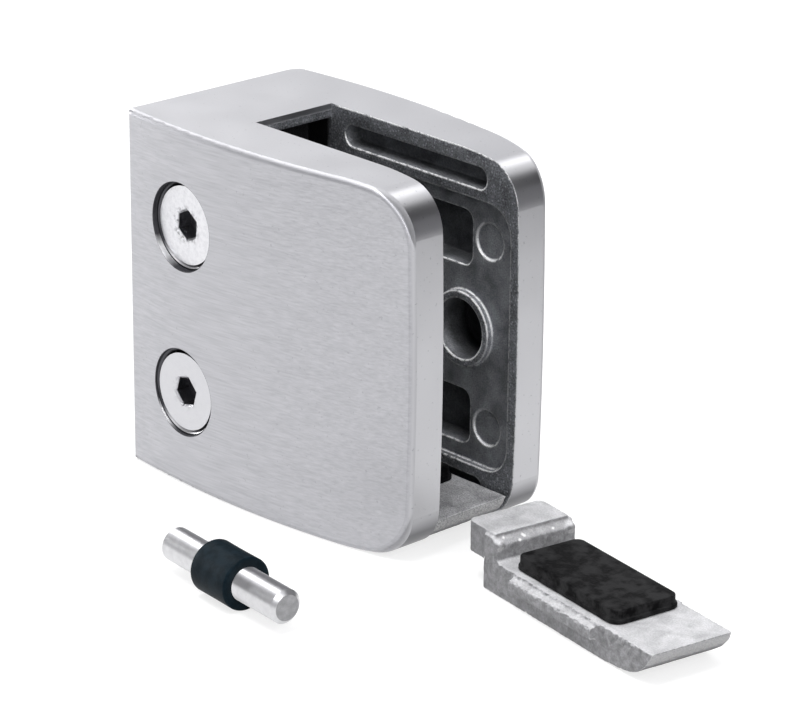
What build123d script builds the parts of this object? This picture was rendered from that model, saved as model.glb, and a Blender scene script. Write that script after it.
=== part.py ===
from build123d import *
import os

# Glass clamp for a railing post, in millimetres.
# X runs from the post out along the glass, Y runs through the glass and Z is up.
# The origin is the centre of the flat face that meets the post.

# Clamp body
height = 55.0
depth = 57.0
slot_gap = 14.6
web_depth = 17.4
front_wall_at_post = 9.6
front_wall_at_end = 5.6
front_belly = 2.75
back_wall_at_post = 9.2
back_wall_at_end = 5.4
back_belly = 2.7
droop_start = 44.0
droop_radius = 50.0
end_bulge = 0.6
corner_radius = 6.8
outer_edge_radius = 0.8
front_post_radius = 0.5
back_post_radius = 3.0

# Hole for the screw that holds the clamp to its post
post_hole_diameter = 8.5
post_head_diameter = 14.0
post_head_depth = 6.0

# Pockets behind the lips at the top and bottom of the web
lip_height = 2.1
web_pocket_depth = 5.2
web_pocket_height = 7.6
web_pocket_radius = 1.0

# Cast relief on the inner face of each jaw
seat_start = 20.4
seat_margin = 1.9
seat_half_height = 20.3
seat_radius = 4.5
seat_depth = 1.0
groove_start = 20.4
groove_end = 50.2
groove_height = 3.3
groove_offset = 23.55
groove_depth = 3.0
pocket_start = 25.5
pocket_end = 46.5
pocket_low = 9.5
pocket_high = 17.9
pocket_radius = 1.8
pocket_depth = 3.5
draft_angle = 3.0
ejector_x = 50.0
ejector_z = 14.2
ejector_diameter = 5.5
ejector_depth = 0.25

# Pin and the holes that take its ends
pin_bore_x = 45.1
pin_bore_diameter = 9.2
pin_boss_diameter = 11.4
back_pin_bore_depth = 6.0
front_pin_bore_depth = 7.0
pin_end_play = 0.3
pin_diameter = 5.0
pin_chamfer = 0.6
sleeve_diameter = 7.8
sleeve_length = 8.0
sleeve_edge_chamfer = 0.25

# Countersunk screws that draw the front jaw to the base
screw_x = 12.8
screw_z = 12.8
screw_diameter = 6.0
screw_length = 20.0
screw_head_diameter = 11.8
screw_head_height = 3.3
upper_head_recess = 1.2
lower_head_recess = 0.6
screw_tip_chamfer = 0.7
socket_width = 4.0
socket_depth = 2.6
socket_chamfer = 0.3
upper_screw_turned = 35.0
lower_screw_turned = 47.0
head_gap = 0.8
cone_gap = 0.12
jaw_hole_diameter = 6.6
thread_gap = 0.05
thread_hole_extra = 4.0

# Support plate that closes the bottom of the slot
plate_gap = 0.45
plate_thickness = 5.0
plate_end_gap = 0.3
nose_inset = 0.3
rib_reach = 1.1
rib_height = 2.0
rib_drop = 0.5
rib_start_gap = 4.8
rib_end_gap = 6.2
ridge_length = 3.2
ridge_height = 8.3
ridge_chamfer = 1.1
hook_reach = 4.6
hook_height = 8.8
hook_underside = 4.0
hook_side_inset = 0.5
hook_root_radius = 1.0
hook_corner_radius = 1.2
plate_edge_radius = 0.4

# Rubber pad on the support plate
pad_start = 5.9
pad_length = 22.6
pad_width = 10.8
pad_height = 2.0
pad_radius = 1.3
pad_flange = 0.4
pad_flange_height = 0.7
pad_edge_chamfer = 0.2

# Where the loose pieces lie beside the clamp
loose_pin_x = 48.6
loose_pin_y = -39.2
loose_pin_turn = -5.3
loose_plate_x = 69.7
loose_plate_y = -3.6
loose_plate_turn = -9.1

half_height = height / 2
half_slot = slot_gap / 2
floor = -half_height
# Longer than the body in every direction, for cuts that go right through it
right_through = 2 * depth
side_plane = Plane.XZ
front_face_plane = Plane.XZ.offset(half_slot)


def side_outline():
    """Outline of the clamp seen along Y, with a gently drooping top and a crowned end."""
    end_x = depth - end_bulge
    droop_run = end_x - droop_start
    droop_drop = droop_radius - (droop_radius**2 - droop_run**2) ** 0.5
    end_z = half_height - droop_drop
    top = Line((0, half_height), (droop_start, half_height))
    top_droop = TangentArc(top @ 1, (end_x, end_z), tangent=(1, 0))
    end = ThreePointArc(top_droop @ 1, (depth, 0), (end_x, -end_z))
    bottom = Line((0, -half_height), (droop_start, -half_height))
    bottom_droop = TangentArc(bottom @ 1, (end_x, -end_z), tangent=(1, 0))
    post = Line((0, half_height), (0, -half_height))
    outline = make_face([top, top_droop, end, bottom_droop, bottom, post])
    corners = outline.vertices().sort_by(Axis.X)[-2:]
    return side_plane * fillet(corners, corner_radius)


def plan_outline():
    """Outline of the clamp seen from above, with both outer faces bowed outward."""
    front_post = (0, -half_slot - front_wall_at_post)
    front_end = (depth, -half_slot - front_wall_at_end)
    back_end = (depth, half_slot + back_wall_at_end)
    back_post = (0, half_slot + back_wall_at_post)
    front = SagittaArc(front_post, front_end, -front_belly)
    end = Line(front_end, back_end)
    back = SagittaArc(back_end, back_post, -back_belly)
    post = Line(back_post, front_post)
    return make_face([front, end, back, post])


def rounded_at_post(outline):
    """The outline seen from above, with its two corners at the post rounded."""
    front_corner = outline.vertices().group_by(Axis.X)[0].sort_by(Axis.Y)[0]
    outline = fillet(front_corner, front_post_radius)
    back_corner = outline.vertices().group_by(Axis.X)[0].sort_by(Axis.Y)[-1]
    return fillet(back_corner, back_post_radius)


def clamp_block():
    """The whole clamp body before it is parted, with its outer edges rounded."""
    block = extrude(side_outline(), amount=right_through, both=True)
    block &= extrude(plan_outline(), amount=height, both=True)
    faces = block.faces().sort_by(Axis.Y)
    around = faces[0].edges() + faces[-1].edges()
    outer_edges = [edge for edge in around if edge.center().X > back_post_radius]
    block = fillet(outer_edges, outer_edge_radius)
    return block & extrude(rounded_at_post(plan_outline()), amount=height, both=True)


def jaw_relief(pin_bore_depth):
    """What the casting leaves out of the front jaw's inner face: seat, grooves, pockets and bore."""
    face = front_face_plane
    seat_floor = face.offset(seat_depth)
    seat_end = depth - seat_margin
    seat_middle = (seat_start + seat_end) / 2
    seat = RectangleRounded(seat_end - seat_start, 2 * seat_half_height, seat_radius)
    boss = Pos(pin_bore_x, 0) * Circle(pin_boss_diameter / 2)
    relief = extrude(face * (Pos(seat_middle, 0) * seat - boss), amount=seat_depth)
    relief += extrude(face * Pos(pin_bore_x, 0) * Circle(pin_bore_diameter / 2), amount=pin_bore_depth)
    for side in (1, -1):
        groove_place = Pos((groove_start + groove_end) / 2, side * groove_offset)
        groove = SlotOverall(groove_end - groove_start, groove_height)
        relief += extrude(face * groove_place * groove, amount=groove_depth, taper=draft_angle)
        pocket_place = Pos((pocket_start + pocket_end) / 2, side * (pocket_low + pocket_high) / 2)
        pocket = RectangleRounded(pocket_end - pocket_start, pocket_high - pocket_low, pocket_radius)
        relief += extrude(seat_floor * pocket_place * pocket, amount=pocket_depth, taper=draft_angle)
        mark = Pos(ejector_x, side * ejector_z) * Circle(ejector_diameter / 2)
        relief += extrude(seat_floor * mark, amount=ejector_depth)
    return relief


def front_face_level(x):
    """Distance of the front outer face from the glass plane, at a distance x from the post."""
    share = x / depth
    wall = front_wall_at_post * (1 - share) + front_wall_at_end * share
    bow = 4 * front_belly * share * (1 - share)
    return half_slot + wall + bow


def screw_place(side):
    """Plane at a screw head's flat top, with its axis pointing into the clamp."""
    recess = upper_head_recess if side > 0 else lower_head_recess
    head_level = front_face_level(screw_x) - recess
    return Plane(origin=(screw_x, -head_level, side * screw_z), x_dir=(1, 0, 0), z_dir=(0, 1, 0))


def countersink(side):
    """Space for one screw in the front jaw, from the open air to the parting plane."""
    place = screw_place(side)
    mouth = extrude(place * Circle(screw_head_diameter / 2 + head_gap), amount=-right_through)
    hole = extrude(place * Circle(jaw_hole_diameter / 2), amount=screw_length)
    cone_radius = screw_diameter / 2 + screw_head_height + cone_gap
    cone_depth = cone_radius - jaw_hole_diameter / 2
    cone = place * Pos(0, 0, cone_depth / 2) * Cone(cone_radius, jaw_hole_diameter / 2, cone_depth)
    return mouth + hole + cone


def thread_hole(side):
    """Hole in the web that takes the screw, a little deeper than the screw reaches."""
    reach = screw_length + thread_hole_extra
    return extrude(screw_place(side) * Circle(screw_diameter / 2 + thread_gap), amount=reach)


def web_pocket(side):
    """Pocket behind one lip of the web, which takes the hook of the support plate."""
    middle_x = web_depth - web_pocket_depth / 2
    middle_z = side * (half_height - lip_height - web_pocket_height / 2)
    pocket = Pos(middle_x, 0, middle_z) * Box(web_pocket_depth, slot_gap, web_pocket_height)
    inner_edges = pocket.edges().filter_by(Axis.Y).sort_by(Axis.X)[:2]
    return fillet(inner_edges, web_pocket_radius)


def post_hole():
    """Clearance hole through the web and the seat for the head of the post screw."""
    hole = extrude(Plane.YZ * Circle(post_hole_diameter / 2), amount=web_depth)
    seat = extrude(Plane.YZ.offset(web_depth) * Circle(post_head_diameter / 2), amount=-post_head_depth)
    return hole + seat


def parting_box():
    """Everything in front of the plane where the front jaw meets the base."""
    middle_y = -half_slot - right_through / 2
    return Pos(0, middle_y, 0) * Box(2 * right_through, right_through, 2 * height)


def slot_box():
    """The open slot that the glass stands in."""
    return Pos(web_depth + depth / 2, 0, 0) * Box(depth, slot_gap, 2 * height)


def base_jaw(block):
    """Back jaw and web, cast in one piece."""
    base = block - parting_box() - slot_box()
    base -= mirror(jaw_relief(back_pin_bore_depth), about=Plane.XZ)
    base -= post_hole()
    for side in (1, -1):
        base -= web_pocket(side)
        base -= thread_hole(side)
    return base


def front_jaw(block):
    """Front jaw, which the two screws draw against the web."""
    jaw = block & parting_box()
    jaw -= jaw_relief(front_pin_bore_depth)
    for side in (1, -1):
        jaw -= countersink(side)
    return jaw


def screw(side):
    """Countersunk screw with a hexagon socket, its thread left plain."""
    head_radius = screw_head_diameter / 2
    shank_radius = screw_diameter / 2
    rim = screw_head_height - (head_radius - shank_radius)
    profile = Polyline(
        (0, 0),
        (head_radius, 0),
        (head_radius, rim),
        (shank_radius, screw_head_height),
        (shank_radius, screw_length - screw_tip_chamfer),
        (shank_radius - screw_tip_chamfer, screw_length),
        (0, screw_length),
        close=True,
    )
    turned = revolve(Plane.XZ * make_face(profile), axis=Axis.Z)
    angle = upper_screw_turned if side > 0 else lower_screw_turned
    hexagon = RegularPolygon(socket_width / 2, 6, major_radius=False, rotation=angle)
    turned -= extrude(hexagon, amount=socket_depth)
    socket_rim = turned.faces().sort_by(Axis.Z)[0].inner_wires()[0].edges()
    return screw_place(side) * chamfer(socket_rim, socket_chamfer)


def plate_slab():
    """Flat of the support plate, cut to the clamp's own lower corner."""
    start = web_depth + plate_end_gap
    width = slot_gap - 2 * plate_gap
    slab = Pos((start + depth) / 2, 0, floor + plate_thickness / 2) * Box(depth - start, width, plate_thickness)
    shape = Pos(-nose_inset, 0, 0) * extrude(side_outline(), amount=slot_gap, both=True)
    return slab & shape


def plate_ridge():
    """Ridge across the inner end of the plate, its outer edge bevelled."""
    start = web_depth + plate_end_gap
    front = start + ridge_length
    top = floor + ridge_height
    outline = Polyline(
        (start, floor),
        (start, top),
        (front - ridge_chamfer, top),
        (front, top - ridge_chamfer),
        (front, floor),
        close=True,
    )
    return extrude(side_plane * make_face(outline), amount=half_slot - plate_gap, both=True)


def plate_hook():
    """Hook that reaches from the ridge over the lower lip of the web, a little narrower than the ridge."""
    start = web_depth + plate_end_gap
    back = start - hook_reach
    front = start + ridge_length - ridge_chamfer
    under = floor + hook_underside
    top = floor + hook_height
    outline = Polyline(
        (start, floor),
        (start, under),
        (back, under),
        (back, top),
        (front, top),
        (front, floor),
        close=True,
    )
    hook = extrude(side_plane * make_face(outline), amount=half_slot - plate_gap - hook_side_inset, both=True)
    corners = hook.edges().filter_by(Axis.Z).group_by(Axis.X)[0]
    hook = fillet(corners, hook_corner_radius)
    root = hook.edges().filter_by(Axis.Y).sort_by_distance((start, 0, under))[0]
    return fillet(root, hook_root_radius)


def plate_ribs():
    """Side ribs that sit in the lower grooves of both jaws."""
    rib_start = groove_start + rib_start_gap
    rib_length = groove_end - rib_end_gap - rib_start
    rib_top = floor + plate_thickness - rib_drop
    width = slot_gap - 2 * plate_gap + 2 * rib_reach
    ribs = Pos(rib_start + rib_length / 2, 0, rib_top - rib_height / 2) * Box(rib_length, width, rib_height)
    return fillet(ribs.edges().filter_by(Axis.X), plate_edge_radius)


def support_plate():
    """Cast plate at the bottom of the slot, in its fitted place."""
    return plate_slab() + plate_ridge() + plate_hook() + plate_ribs()


def support_pad():
    """Rubber pad that the glass edge stands on, with a wider foot."""
    middle_x = web_depth + plate_end_gap + pad_start + pad_length / 2
    seat = Plane.XY.offset(floor + plate_thickness) * Pos(middle_x, 0)
    foot_size = (pad_length + 2 * pad_flange, pad_width + 2 * pad_flange)
    foot = extrude(seat * RectangleRounded(*foot_size, pad_radius + pad_flange), amount=pad_flange_height)
    pad = extrude(seat * RectangleRounded(pad_length, pad_width, pad_radius), amount=pad_height)
    top_edges = pad.faces().sort_by(Axis.Z)[-1].edges()
    return foot + chamfer(top_edges, pad_edge_chamfer)


def securing_pin():
    """Steel pin with chamfered ends, along X about the origin."""
    length = slot_gap + back_pin_bore_depth + front_pin_bore_depth - 2 * pin_end_play
    pin = extrude(Plane.YZ * Circle(pin_diameter / 2), amount=length / 2, both=True)
    return chamfer(pin.edges().filter_by(GeomType.CIRCLE), pin_chamfer)


def pin_sleeve():
    """Rubber sleeve round the middle of the pin, which keeps it off the glass."""
    sleeve = extrude(Plane.YZ * Circle(sleeve_diameter / 2), amount=sleeve_length / 2, both=True)
    sleeve = chamfer(sleeve.edges().filter_by(GeomType.CIRCLE), sleeve_edge_chamfer)
    return sleeve - extrude(Plane.YZ * Circle(pin_diameter / 2), amount=sleeve_length, both=True)


def lay_pin_down(piece):
    """Lays the pin, or its sleeve, on the floor in front of the clamp."""
    rest = floor + sleeve_diameter / 2
    return Pos(loose_pin_x, loose_pin_y, rest) * Rot(0, 0, loose_pin_turn) * piece


def lay_plate_down(piece):
    """Lays a copy of the fitted plate, or its pad, on the floor beyond the open end."""
    own_origin = Pos(-web_depth - plate_end_gap, 0, 0)
    return Pos(loose_plate_x, loose_plate_y, 0) * Rot(0, 0, loose_plate_turn) * own_origin * piece


def all_pieces():
    """Every piece of the clamp by name."""
    block = clamp_block()
    plate = support_plate()
    pad = support_pad()
    return {
        "base_jaw": base_jaw(block),
        "front_jaw": front_jaw(block),
        "upper_screw": screw(1),
        "lower_screw": screw(-1),
        "support_plate": plate,
        "support_pad": pad,
        "loose_pin": lay_pin_down(securing_pin()),
        "loose_pin_sleeve": lay_pin_down(pin_sleeve()),
        "loose_support_plate": lay_plate_down(plate),
        "loose_support_pad": lay_plate_down(pad),
    }


os.makedirs("parts", exist_ok=True)
for name, piece in all_pieces().items():
    export_step(piece, f"parts/{name}.step")
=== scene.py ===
"""Glass clamp for a railing post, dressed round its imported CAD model.

The clamp stands closed with its screws in, its securing pin lies in front of it and a second support
plate lies beyond the open end. Every length is in metres and in the frame of the CAD model, apart from
the sizes of patterns and the tables that say so, which are in millimetres.
"""

import logging
import math
from dataclasses import dataclass, field
from enum import Enum

import bmesh
import bpy
from mathutils import Euler, Matrix, Vector, noise


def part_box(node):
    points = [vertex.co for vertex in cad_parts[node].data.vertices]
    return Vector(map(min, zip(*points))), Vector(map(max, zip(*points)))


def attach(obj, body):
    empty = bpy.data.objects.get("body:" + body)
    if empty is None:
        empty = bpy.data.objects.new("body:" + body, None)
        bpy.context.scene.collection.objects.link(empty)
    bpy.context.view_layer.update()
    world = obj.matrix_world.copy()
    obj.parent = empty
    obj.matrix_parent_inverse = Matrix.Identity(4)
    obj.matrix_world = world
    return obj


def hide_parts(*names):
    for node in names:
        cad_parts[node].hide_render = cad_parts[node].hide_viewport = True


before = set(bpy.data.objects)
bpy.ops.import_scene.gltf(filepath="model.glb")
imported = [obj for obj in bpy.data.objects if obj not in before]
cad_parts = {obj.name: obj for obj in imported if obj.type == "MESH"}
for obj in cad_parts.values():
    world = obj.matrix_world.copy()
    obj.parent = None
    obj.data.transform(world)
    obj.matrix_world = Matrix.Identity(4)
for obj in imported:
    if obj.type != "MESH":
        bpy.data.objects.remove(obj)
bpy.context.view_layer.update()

Socket = bpy.types.NodeSocket
Tree = bpy.types.NodeTree
Span = tuple[float, float]
Point = tuple[float, float, float]

LOG = logging.getLogger("glass_clamp")
MM = 0.001
PHOTO_WIDTH = 798
SENSOR_WIDTH_MM = 36.0
LOOSE_PLATE_TURN = math.radians(-9.1)
LOOSE_PIN_TURN = math.radians(-5.3)
FALLING: Span = (1.0, 0.0)
ALONG_FACE: Point = (1.0, 0.0, 1.0)
# Inputs of the range node and of the mix node, two by two.
FROM = (1, 2)
TO = (3, 4)
NUMBERS = (2, 3)
FACINGS = (4, 5)
COLOURS = (6, 7)


class Slot(Enum):
    """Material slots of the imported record."""

    PLATE_CASTING = "plate_casting"
    PAD_RUBBER = "pad_rubber"
    SLEEVE_RUBBER = "sleeve_rubber"


class Body(Enum):
    """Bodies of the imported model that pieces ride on."""

    BASE = "base"


def srgb(code: str) -> tuple[float, float, float, float]:
    """Turn an sRGB hex colour into a linear one.

    Args:
        code: Colour as "#RRGGBB".

    Returns:
        Linear red, green, blue and an alpha of 1.
    """
    parts = [int(code[i:i + 2], 16) / 255 for i in (1, 3, 5)]
    line = [c / 12.92 if c <= 0.04045 else ((c + 0.055) / 1.055) ** 2.4 for c in parts]
    return (line[0], line[1], line[2], 1.0)


def add_node(tree: Tree, kind: str, inputs: dict | None = None, output: int | str = 0,
             **settings) -> Socket | None:
    """Add one node to a tree, with its settings, its values and its links.

    Args:
        tree: Node tree that takes the node.
        kind: Type of the node.
        inputs: Value or output socket for each input, by its name or number. A tuple of inputs takes a
            tuple of values, such as both ends of a range.
        output: Output that is wanted back.
        **settings: Properties of the node itself.

    Returns:
        The wanted output socket.
    """
    node = tree.nodes.new(kind)
    for name, value in settings.items():
        setattr(node, name, value)
    for keys, values in (inputs or {}).items():
        pairs = zip(keys, values) if isinstance(keys, tuple) else [(keys, values)]
        for key, value in pairs:
            if isinstance(value, Socket):
                tree.links.new(value, node.inputs[key])
            else:
                node.inputs[key].default_value = value
    return node.outputs[output] if node.outputs else None


def new_material(name: str) -> tuple[bpy.types.Material, Tree]:
    """Make an empty node material.

    Args:
        name: Name of the material.

    Returns:
        The material and its node tree.
    """
    material = bpy.data.materials.new(name)
    material.use_nodes = True
    material.node_tree.nodes.clear()
    return material, material.node_tree


def finish_material(tree: Tree, sockets: dict) -> None:
    """Join a principled shader to the output.

    Args:
        tree: Node tree of the material.
        sockets: Values and links for the shader's inputs, by name.
    """
    shader = add_node(tree, "ShaderNodeBsdfPrincipled", sockets)
    add_node(tree, "ShaderNodeOutputMaterial", {"Surface": shader})


def per_size(sizes_mm: Point) -> Point:
    """Scale along each axis for marks of the given sizes in millimetres."""
    return (1 / (sizes_mm[0] * MM), 1 / (sizes_mm[1] * MM), 1 / (sizes_mm[2] * MM))


@dataclass(frozen=True)
class Pattern:
    """Cloudy pattern, by the size of its marks in millimetres and by how fine and how broken they are.

    A size of 0 is for a place that has been scaled already.
    """

    size_mm: float
    detail: float
    breakup: float = 0.5
    swirl: float = 0.0

    def inputs(self, place: Socket, name: str = "Vector") -> dict:
        """Inputs that draw the pattern.

        Args:
            place: Point on the piece, or one length of it.
            name: Input that takes the place.

        Returns:
            The inputs by their names.
        """
        scale = 1 / (self.size_mm * MM) if self.size_mm else 1.0
        return {name: place, "Scale": scale, "Detail": self.detail, "Roughness": self.breakup,
                "Distortion": self.swirl}


@dataclass(frozen=True)
class SatinCastStainless:
    """Investment-cast stainless steel, its outside ground and brushed, its inside left as cast.

    The brushed skin gives a soft pale sheen with fine streaks, and the cast skin a dark speckled grain.
    The real streaks and the real grain are under 0.1 mm wide, and are drawn coarser here so that they show.
    """

    side: float
    name: str
    face_slope: float
    face_bow: float
    # Greys of the ground and brushed outside, and a painted shade for the faces that turn down.
    brushed: str = "#BABABE"
    brushed_dark: str = "#A3A3A7"
    satin: str = "#B7B7BA"
    underside_shade: str = "#6A6A6D"
    # Greys of the cast inside: raised land and sunk seat, and the deep recess darkened as painted shade.
    land: str = "#828488"
    seat: str = "#96989C"
    deep: str = "#747679"
    # Rubbed edge, partly wear and partly painted highlight.
    worn: str = "#FAFAFA"
    # Painted shade where no light comes in.
    shut_in_shade: str = "#2A2A2C"
    # Painted shade in the turned mouths round the screw heads, and a painted glint on their low side.
    mouth_shade: str = "#4C4C50"
    glint: str = "#D4D4D6"
    # Sizes of the casting that tell its skins apart.
    outline_end: float = 57 * MM
    outline_half: float = 27.5 * MM
    corner: float = 6.8 * MM
    droop_start: float = 44 * MM
    droop_radius: float = 50 * MM
    end_bulge: float = 0.6 * MM
    skin: float = 1.0 * MM
    skin_fade: float = 0.8
    slot_half: float = 7.3 * MM
    rim_radius: float = 0.8 * MM
    web_face: float = 17.3 * MM
    mouth_radius: float = 6.74 * MM
    screw_place: Span = (12.8 * MM, 12.8 * MM)
    seat_depth: float = 1.0 * MM
    edge_radius: float = 0.50 * MM
    edge_samples: int = 6
    # Facings, as the share of the normal along an axis.
    broad_facing: Span = (0.55, 0.95)
    outward_facing: float = 0.5
    rim_facing: float = 0.02
    rim_start: float = 0.002
    under_facing: Span = (-0.02, -0.45)
    glint_rise: Span = (0.40, 0.66)
    glint_fall: Span = (0.80, 0.97)
    # Brushed streaks along the clamp, longer bands in them, broad clouds and pits.
    streak_sizes_mm: Point = (6.0, 0.26, 0.26)
    band_sizes_mm: Point = (24.0, 0.9, 0.9)
    slant: float = math.radians(3.0)
    streaks: Pattern = Pattern(0.0, 3.0, 0.6)
    bands: Pattern = Pattern(0.0, 2.0)
    clouds: Pattern = Pattern(9.0, 1.0)
    pits: Pattern = Pattern(0.5, 1.0)
    streak_range: Span = (0.32, 0.68)
    pit_range: Span = (0.70, 0.76)
    band_share: float = 0.5
    streak_rough: Span = (0.40, 0.30)
    cloud_range: Span = (0.3, 0.7)
    rim_rough: Span = (0.285, 0.35)
    rounding_rough: float = 0.56
    streak_height: float = 0.008 * MM
    cloud_height: float = 0.05 * MM
    # Grain, patches and bright specks of the cast skin.
    grain: Pattern = Pattern(0.26, 4.0, 0.65)
    patches: Pattern = Pattern(3.5, 3.0)
    speck_mm: float = 0.55
    speck_range: Span = (0.12, 0.38)
    speck_gain: float = 0.9
    speck_in_seat: float = 0.12
    land_depths: Span = (0.15 * MM, 0.7 * MM)
    # Depths and place of the painted shade in the recesses and where the slot ends.
    deep_seats: Span = (1.1, 2.6)
    buried_seats: Span = (3.9, 5.5)
    buried_share: float = 0.8
    shut_before_web: Span = (0.9 * MM, 0.4 * MM)
    grain_range: Span = (0.36, 0.64)
    seat_shade: Span = (0.72, 1.22)
    land_shade: Span = (0.50, 1.42)
    patch_range: Span = (0.32, 0.68)
    patch_shade: Span = (0.66, 1.25)
    grain_rough: Span = (0.42, 0.72)
    grain_height: float = 0.16 * MM
    # Edges rubbed bright in broken lines, with a painted highlight that makes them brighter where they face
    # up.
    wear_marks: Pattern = Pattern(0.9, 4.0, 0.7)
    wear_depth: float = 1.4 * MM
    wear_fade: float = 1.1
    wear_range: Span = (0.38, 0.62)
    wear_swing: Span = (0.15, 2.4)
    wear_turn: Span = (0.010, 0.085)
    wear_gaps: Span = (0.34, 0.50)
    wear_past_web: Span = (0.8 * MM, 1.4 * MM)
    wear_facing: Span = (-0.1, 0.3)
    wear_highlight: Span = (0.4, 1.0)
    worn_rough: float = 0.50
    worn_metal: float = 0.25

    def dress(self, piece: bpy.types.Object) -> None:
        """Give the finish to a piece.

        Args:
            piece: Jaw that takes it.
        """
        material, tree = new_material(self.name)
        place = add_node(tree, "ShaderNodeTexCoord", output="Object")
        normal = add_node(tree, "ShaderNodeTexCoord", output="Normal")
        inside, depth, reach = self.inside_mask(tree, place, normal)
        facing = add_node(tree, "ShaderNodeSeparateXYZ", {0: normal}, output="Y")
        broad = add_node(tree, "ShaderNodeMath", {0: facing, 1: self.side}, operation="MULTIPLY")
        broad = add_node(tree, "ShaderNodeMapRange", {0: broad, FROM: self.broad_facing},
                         interpolation_type="SMOOTHSTEP")
        ground, on_rounding = self.rounded_rim(tree, place, normal, reach)
        outer_colour, outer_rough, outer_height = self.brushed_skin(tree, place, broad, on_rounding)
        cast_colour, cast_rough, cast_height = self.cast_skin(tree, place, depth)
        soft_edge = add_node(tree, "ShaderNodeBevel", {"Radius": self.edge_radius},
                             samples=self.edge_samples)
        cast_colour, cast_rough, rubbed = self.wear(tree, place, depth, soft_edge, (cast_colour, cast_rough))
        soft_edge = add_node(tree, "ShaderNodeMix", {0: inside, FACINGS: (ground, soft_edge)}, output=1,
                             data_type="VECTOR")
        in_mouth, turned = self.screw_mouths(tree, place, normal)
        colour = outer_colour
        for share, layer in ((inside, cast_colour), (in_mouth, turned)):
            colour = add_node(tree, "ShaderNodeMix", {0: share, COLOURS: (colour, layer)}, output=2,
                              data_type="RGBA")
        rough = add_node(tree, "ShaderNodeMix", {0: inside, NUMBERS: (outer_rough, cast_rough)})
        height = add_node(tree, "ShaderNodeMix", {0: inside, NUMBERS: (outer_height, cast_height)})
        bump = add_node(tree, "ShaderNodeBump", {"Strength": 1.0, "Distance": 1.0, "Height": height,
                                                 "Normal": soft_edge})
        crushed = add_node(tree, "ShaderNodeMath", {0: rubbed, 1: inside}, operation="MULTIPLY")
        metal = add_node(tree, "ShaderNodeMapRange", {0: crushed, TO: (1.0, self.worn_metal)})
        finish_material(tree, {"Base Color": colour, "Metallic": metal, "Roughness": rough, "Normal": bump})
        piece.data.materials[0] = material

    def screw_mouths(self, tree: Tree, place: Socket, normal: Socket) -> tuple[Socket, Socket]:
        """Tell the turned mouths that the screw heads sink into, dark with painted shade and with a painted
        glint on the low side.

        Args:
            tree: Node tree of the material.
            place: Point on the piece.
            normal: Facing of the surface.

        Returns:
            1 within the mouths, and their colour.
        """
        centre = (self.screw_place[0], 0.0, self.screw_place[1])
        folded = add_node(tree, "ShaderNodeVectorMath", {0: place}, operation="ABSOLUTE")
        off = add_node(tree, "ShaderNodeVectorMath", {0: folded, 1: centre}, operation="SUBTRACT")
        off = add_node(tree, "ShaderNodeVectorMath", {0: off, 1: ALONG_FACE}, operation="MULTIPLY")
        radius = add_node(tree, "ShaderNodeVectorMath", {0: off}, output="Value", operation="LENGTH")
        near = add_node(tree, "ShaderNodeMath", {0: radius, 1: self.mouth_radius}, operation="LESS_THAN")
        front = 1.0 if self.side < 0 else 0.0
        near = add_node(tree, "ShaderNodeMath", {0: near, 1: front}, operation="MULTIPLY")
        # Painted glint: the wall that faces up turns paler, and dark again where it faces straight up.
        upward = add_node(tree, "ShaderNodeSeparateXYZ", {0: normal}, output="Z")
        rising = add_node(tree, "ShaderNodeMapRange", {0: upward, FROM: self.glint_rise})
        falling = add_node(tree, "ShaderNodeMapRange", {0: upward, FROM: self.glint_fall, TO: FALLING})
        painted_light = add_node(tree, "ShaderNodeMath", {0: rising, 1: falling}, operation="MULTIPLY")
        turned = add_node(tree, "ShaderNodeMix", {0: painted_light, COLOURS: (srgb(self.mouth_shade), srgb(self.glint))},
                          output=2, data_type="RGBA")
        return near, turned

    def wear(self, tree: Tree, place: Socket, depth: Socket, soft_edge: Socket,
             skin: tuple[Socket, Socket]) -> tuple[Socket, Socket, Socket]:
        """Rub the cast skin bright along its raised edges, in broken lines, brightest where the edge faces up
        as a painted highlight.

        Args:
            tree: Node tree of the material.
            place: Point on the piece.
            depth: Depth below the inner face in metres.
            soft_edge: Facing of the surface with its edges rounded.
            skin: Colour and roughness of the cast skin.

        Returns:
            Colour and roughness with the wear and its painted highlight in them, and 1 where it is worn.
        """
        sharp = add_node(tree, "ShaderNodeNewGeometry", output="Normal")
        turn = add_node(tree, "ShaderNodeVectorMath", {0: soft_edge, 1: sharp}, output="Value",
                        operation="DOT_PRODUCT")
        turned = add_node(tree, "ShaderNodeMath", {0: 1.0, 1: turn}, operation="SUBTRACT")
        marks = add_node(tree, "ShaderNodeTexNoise", self.wear_marks.inputs(place))
        uneven = add_node(tree, "ShaderNodeMapRange", {0: marks, FROM: self.wear_range,
                                                       TO: self.wear_swing})
        turned = add_node(tree, "ShaderNodeMath", {0: turned, 1: uneven}, operation="MULTIPLY")
        rubbed = add_node(tree, "ShaderNodeMapRange", {0: turned, FROM: self.wear_turn})
        patchy = add_node(tree, "ShaderNodeMapRange", {0: marks, FROM: self.wear_gaps})
        fade = (self.wear_depth, self.wear_fade * self.wear_depth)
        raised = add_node(tree, "ShaderNodeMapRange", {0: depth, FROM: fade, TO: FALLING})
        along = add_node(tree, "ShaderNodeSeparateXYZ", {0: place}, output="X")
        open_end = [self.web_face + past for past in self.wear_past_web]
        past_web = add_node(tree, "ShaderNodeMapRange", {0: along, FROM: open_end})
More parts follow.
